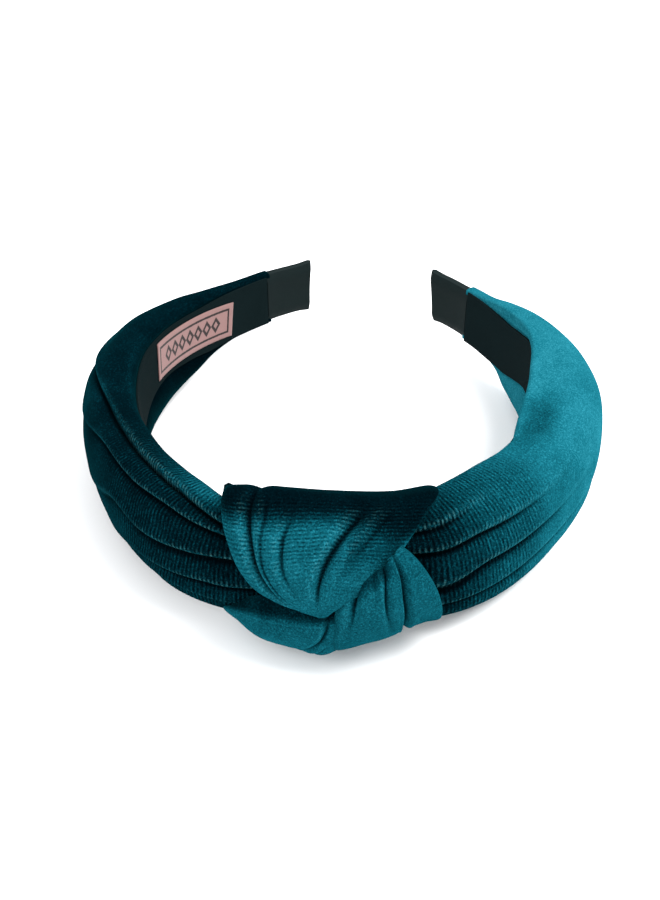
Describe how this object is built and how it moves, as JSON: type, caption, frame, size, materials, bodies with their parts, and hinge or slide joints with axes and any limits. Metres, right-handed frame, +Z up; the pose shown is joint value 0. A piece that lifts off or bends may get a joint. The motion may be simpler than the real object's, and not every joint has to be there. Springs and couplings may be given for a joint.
{
  "type": "knotted headband",
  "caption": "Padded velvet headband: a lined springy C-shaped core in gathered velvet sleeves, with a wrapped knot set beside the crown.",
  "frame": {"origin": "the head side of the lining at the crown, on the flat facet midway between the arms and halfway up the band's width", "axes": "+Y from the crown towards the tips, +X towards the arm nearer the knot, +Z up when the headband lies on a table"},
  "size_m": [0.1603, 0.1782, 0.0462],
  "materials": {
    "velvet_dark": "teal crushed-pile velvet seen against the nap",
    "velvet_bright": "teal pile velvet seen with the nap",
    "lining_ribbon": "matt woven ribbon",
    "label_weave": "damask woven label",
    "core_plastic": "matt springy plastic",
    "foam": "soft open-cell foam",
    "adhesive": "set hot-melt glue",
    "thread": "spun polyester thread"
  },
  "bodies": {
    "crown": {"core_crown": "core_plastic", "lining_crown": "lining_ribbon", "glue_strip_crown": "adhesive", "velvet_crown": "velvet_dark", "knot_upper_fold": "velvet_dark", "knot_lower_left_fold": "velvet_bright", "knot_lower_right_fold": "velvet_bright", "knot_inner_fold": "velvet_dark", "knot_tack_thread": "thread"},
    "left_arm": {"core_left": "core_plastic", "lining_left": "lining_ribbon", "glue_strip_left": "adhesive", "foam_pad_left": "foam", "velvet_sleeve_left": "velvet_dark", "tip_wrap_left": "lining_ribbon", "label": "label_weave"},
    "right_arm": {"core_right": "core_plastic", "lining_right": "lining_ribbon", "glue_strip_right": "adhesive", "foam_pad_right": "foam", "velvet_sleeve_right": "velvet_bright", "tip_wrap_right": "lining_ribbon"}
  },
  "joints": [
    {"name": "left_flex", "type": "hinge", "parent": "crown", "child": "left_arm", "pos_m": [-0.00831, -0.00249, 0], "axis": [0, 0, 1], "range_deg": [-4, 16], "stiffness_Nm_per_rad": 0.9},
    {"name": "right_flex", "type": "hinge", "parent": "crown", "child": "right_arm", "pos_m": [0.02991, 0.00592, 0], "axis": [0, 0, -1], "range_deg": [-4, 16], "stiffness_Nm_per_rad": 0.9}
  ]
}
